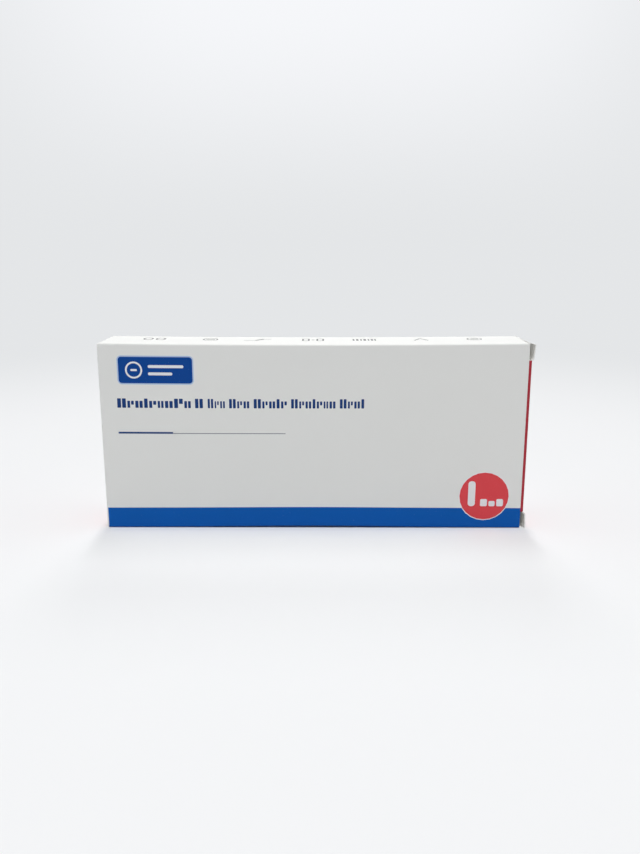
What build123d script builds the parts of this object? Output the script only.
"""Reverse-tuck folding carton of a kit for one rapid test, folded up and tucked shut.

The carton stands on one long narrow panel. The origin is the middle of the face that it rests on,
+X runs along its length to the right-hand end, -Y is the front and +Z is up. Millimetres throughout.

It was cut from one sheet of coated board. The sleeve is four panels wrapped round and closed by a
glue flap at the lower rear edge, and each end has two dust flaps and a closure panel with a tongue.
The right-hand closure swings on the back panel and its tongue tucks behind the front panel; the
left-hand one swings on the front panel and tucks behind the back panel.
"""

import os
from math import asin, cos, degrees, radians, sin, sqrt

from build123d import *

# Carton
length = 145.0  # between the outer faces of the two closed ends
height = 65.0  # from the face that it rests on to the top panel
depth = 20.0  # from the front panel to the back panel
board = 0.4  # thickness of the board
inner_fold = 0.2  # inside radius of a fold

# Glue flap, bottom panel to inside of the back panel
glue_flap_width = 12.0  # height of its raw edge above the base
glue_flap_setback = 1.0  # its ends start this far inside the panel ends
glue_flap_taper = 8.0  # and lose this much more by its raw edge
seam_lift = 0.3  # the back panel's raw lower edge stops this far above the base

# Dust flaps
dust_length = 19.0  # from the fold's outer face to the tip
dust_side_gap = 0.1  # between the flap's sides and the long folds beside it
dust_taper = 1.6  # lost on the hinge side by the tip
dust_corner = 4.0  # rounding of the two tip corners
shoulder_gap = 0.6  # from the shoulder's step to the end of the slit that it locks into
tongue_passage = 0.5  # between the dust flaps' stepped edge and the tongue's inner face
dust_gap = 0.2  # between the dust flaps and the closure panel over them

# End closures: panel, slits and tongue
hinge_gap = 0.1  # between the round crease and the cut end of the panel that carries it
side_relief = 0.4  # closure panel's top and bottom edges inside the carton's height
slit_length = 5.4  # slit along the fold at each end of the tongue
tongue_length = 12.5  # along its curve, from the fold to the tip
tongue_gap = 0.15  # between the tongue and the panel that it tucks behind
tongue_corner = 8.0  # rounding of the tongue's two tip corners
tab_inset = 0.05  # tab's raw edge inside the face of the panel that it covers

# The tabs beside the slits have sprung out where the shoulders press on them
tab_bend = 6.0  # length of tab that is bent, back from its raw edge
tab_buckle = 0.9  # run over which a tab rises, next to the slit's end
upper_tab_lift, upper_tab_curl = 0.50, 0.38  # at the slit's end, and added by the outer corner
lower_tab_lift, lower_tab_curl = 0.65, 0.20

# As it stands, the right-hand closure isn't pressed home
right_ajar = 2.2
left_ajar = 0.0

# Worked out from the driving dimensions
outer_fold = inner_fold + board
middle_fold = inner_fold + board / 2
panel_end = length / 2 - board - hinge_gap
hinge_x = length / 2 - board / 2
hinge_y = depth / 2 - board / 2
top_middle = height - board / 2
bottom_middle = board / 2
inner_face = depth / 2 - board
glue_flap_middle = inner_face - board / 2

tongue_outer = hinge_y + inner_face - tongue_gap
tongue_inner = tongue_outer - board
tongue_turn = degrees(tongue_length / (tongue_outer - board / 2))
tab_reach = hinge_y + depth / 2 - tab_inset
flap_low, flap_high = side_relief, height - side_relief
slit_low, slit_high = flap_low + slit_length, flap_high - slit_length

dust_outer = length / 2 - board - dust_gap
dust_middle = dust_outer - board / 2
dust_fold_start = dust_outer - outer_fold
dust_half_width = depth / 2 - outer_fold - dust_side_gap
dust_tip = height - dust_length
shoulder_level = slit_high + shoulder_gap
stepped_edge = hinge_y - (tongue_inner - tongue_passage)

BOTH_ENDS = (Location((0, 0, 0)), Location((0, 0, 0), (0, 0, 180)))


def dust_flap_pair():
    """The upper and lower dust flaps of the right-hand end, with the folds that carry them."""
    with BuildPart() as pair:
        with BuildSketch(Plane.XZ):
            with BuildLine():
                FilletPolyline(
                    (dust_fold_start - outer_fold, top_middle),
                    (dust_middle, top_middle),
                    (dust_middle, dust_tip),
                    radius=middle_fold,
                )
            trace(line_width=board)
        extrude(amount=depth / 2, both=True)

        # The outline, seen from the end: shoulder and step on the tuck side, taper on the hinge side
        with BuildSketch(Plane.YZ):
            with BuildLine():
                Polyline(
                    (dust_half_width, height),
                    (-dust_half_width, height),
                    (-dust_half_width, shoulder_level),
                    (stepped_edge, shoulder_level),
                    (stepped_edge, dust_tip),
                    (dust_half_width - dust_taper, dust_tip),
                    (dust_half_width, height - outer_fold),
                    close=True,
                )
            make_face()
            fillet(vertices().group_by(Axis.Y)[0], radius=dust_corner)
        extrude(amount=length / 2, mode=Mode.INTERSECT)
        mirror(about=Plane.XY.offset(height / 2))
    return pair.part


def tab_section(plane, lift):
    """The closure panel cut across at a tab, whose raw edge stands out by lift."""
    bend_start = tab_reach - tab_bend
    with BuildSketch(plane) as section:
        with BuildLine():
            Polyline(
                (0, -board / 2),
                (bend_start, -board / 2),
                (tab_reach, lift - board / 2),
                (tab_reach, lift + board / 2),
                (bend_start, board / 2),
                (0, board / 2),
                close=True,
            )
        make_face()
    return section.sketch


def end_closure(hinge, lower_tab, upper_tab):
    """A closure panel with its tongue, on a plane with its origin on the hinge line.

    The plane's x runs across the panel to the tongue, its y points out of the carton and z up.
    """
    outer_start = degrees(asin(board / 2 / tongue_outer))
    inner_start = degrees(asin(board / 2 / tongue_inner))
    outer_corner = sqrt(tongue_outer**2 - (board / 2) ** 2)
    inner_corner = sqrt(tongue_inner**2 - (board / 2) ** 2)
    tip = (cos(radians(tongue_turn)), -sin(radians(tongue_turn)))

    with BuildPart() as closure:
        # Panel, fold and tongue; the tongue curves about the hinge line, so it swings clear of the sleeve
        with BuildSketch(hinge.offset(slit_low)):
            with BuildLine():
                Line((0, board / 2), (outer_corner, board / 2))
                CenterArc((0, 0), tongue_outer, outer_start, -outer_start - tongue_turn)
                Line(
                    (tongue_outer * tip[0], tongue_outer * tip[1]),
                    (tongue_inner * tip[0], tongue_inner * tip[1]),
                )
                CenterArc((0, 0), tongue_inner, -tongue_turn, tongue_turn - inner_start)
                Line((inner_corner, -board / 2), (0, -board / 2))
                ThreePointArc((0, -board / 2), (-board / 2, 0), (0, board / 2))
            make_face()
            fillet(vertices().sort_by_distance((outer_corner, board / 2))[0], radius=outer_fold)
            fillet(vertices().sort_by_distance((inner_corner, -board / 2))[0], radius=inner_fold)
        extrude(amount=slit_high - slit_low)

        # Round the two corners of its tip, seen square on to the middle of its curve
        facing = hinge.rotated((0, 0, -tongue_turn / 2))
        square_on = Plane(origin=facing.origin, x_dir=facing.y_dir, z_dir=facing.x_dir)
        tip_edge = -tongue_outer * sin(radians(tongue_turn / 2))
        nearest = tongue_inner * cos(radians(tongue_turn / 2)) - board
        with BuildSketch(square_on.offset(nearest)):
            with Locations((tip_edge - board, 0)):
                Rectangle(tongue_corner + board, height, align=(Align.MIN, Align.MIN))
            with Locations((tip_edge, slit_low)):
                RectangleRounded(
                    3 * tongue_corner,
                    slit_high - slit_low,
                    radius=tongue_corner,
                    align=(Align.MIN, Align.MIN),
                    mode=Mode.SUBTRACT,
                )
        extrude(amount=tongue_outer + board - nearest, mode=Mode.SUBTRACT)

        # The round crease runs the full height of the closure panel
        with BuildSketch(hinge.offset(flap_low)):
            Circle(board / 2)
        extrude(amount=flap_high - flap_low)

        # Each tab is the end of the panel, cut free of the tongue by the slit and bent outwards
        for slit_end, panel_edge, tab in (
            (slit_low, flap_low, lower_tab),
            (slit_high, flap_high, upper_tab),
        ):
            lift, curl = tab
            buckle = tab_buckle if panel_edge > slit_end else -tab_buckle
            sections = [
                tab_section(hinge.offset(slit_end), 0),
                tab_section(hinge.offset(slit_end + buckle), lift),
                tab_section(hinge.offset(panel_edge), lift + curl),
            ]
            loft(sections, ruled=True)
    return closure.part


with BuildPart() as carton_body:
    # The wrap: back, top, front and bottom panels, then the glue flap up against the back panel
    bottom_edge = glue_flap_middle - middle_fold
    with BuildSketch(Plane.YZ):
        with BuildLine():
            FilletPolyline(
                (hinge_y, seam_lift),
                (hinge_y, top_middle),
                (-hinge_y, top_middle),
                (-hinge_y, bottom_middle),
                (bottom_edge, bottom_middle),
                radius=middle_fold,
            )
        trace(line_width=board)
        with BuildLine():
            FilletPolyline(
                (bottom_edge - outer_fold, bottom_middle),
                (glue_flap_middle, bottom_middle),
                (glue_flap_middle, glue_flap_width),
                radius=middle_fold,
            )
        trace(line_width=board)
    extrude(amount=panel_end, both=True)

    # Tapered ends of the glue flap, cut down through its fold
    flap_foot = panel_end - glue_flap_setback
    with BuildSketch(Plane.XZ.offset(-inner_face)):
        with BuildLine():
            Polyline(
                (flap_foot, 0),
                (flap_foot, outer_fold),
                (flap_foot - glue_flap_taper, glue_flap_width),
                (length / 2, glue_flap_width),
                (length / 2, 0),
                close=True,
            )
        make_face()
        mirror(about=Plane.YZ)
    extrude(amount=outer_fold, mode=Mode.SUBTRACT)

    # Dust flaps, folded in from the top and bottom panels at both ends
    for narrow_panel in (Plane.XY, Plane.XY.offset(height - board)):
        with BuildSketch(narrow_panel):
            with Locations((dust_fold_start, 0), (-length / 2, 0)):
                Rectangle(
                    length / 2 - dust_fold_start,
                    2 * dust_half_width,
                    align=(Align.MIN, Align.CENTER),
                )
        extrude(amount=board, mode=Mode.SUBTRACT)
    flap_pair = dust_flap_pair()
    with Locations(*BOTH_ENDS):
        add(flap_pair)

right_hinge = Plane(
    origin=(hinge_x, hinge_y, 0),
    x_dir=(sin(radians(right_ajar)), -cos(radians(right_ajar)), 0),
    z_dir=(0, 0, 1),
)
left_hinge = Plane(
    origin=(-hinge_x, -hinge_y, 0),
    x_dir=(-sin(radians(left_ajar)), cos(radians(left_ajar)), 0),
    z_dir=(0, 0, 1),
)
flat_tab = (0, 0)
right_end_closure = end_closure(
    right_hinge, (lower_tab_lift, lower_tab_curl), (upper_tab_lift, upper_tab_curl)
)
left_end_closure = end_closure(left_hinge, flat_tab, flat_tab)

os.makedirs("parts", exist_ok=True)
carton_body.part.label = "carton_body"
right_end_closure.label = "right_end_closure"
left_end_closure.label = "left_end_closure"
export_step(carton_body.part, "parts/carton_body.step")
export_step(right_end_closure, "parts/right_end_closure.step")
export_step(left_end_closure, "parts/left_end_closure.step")
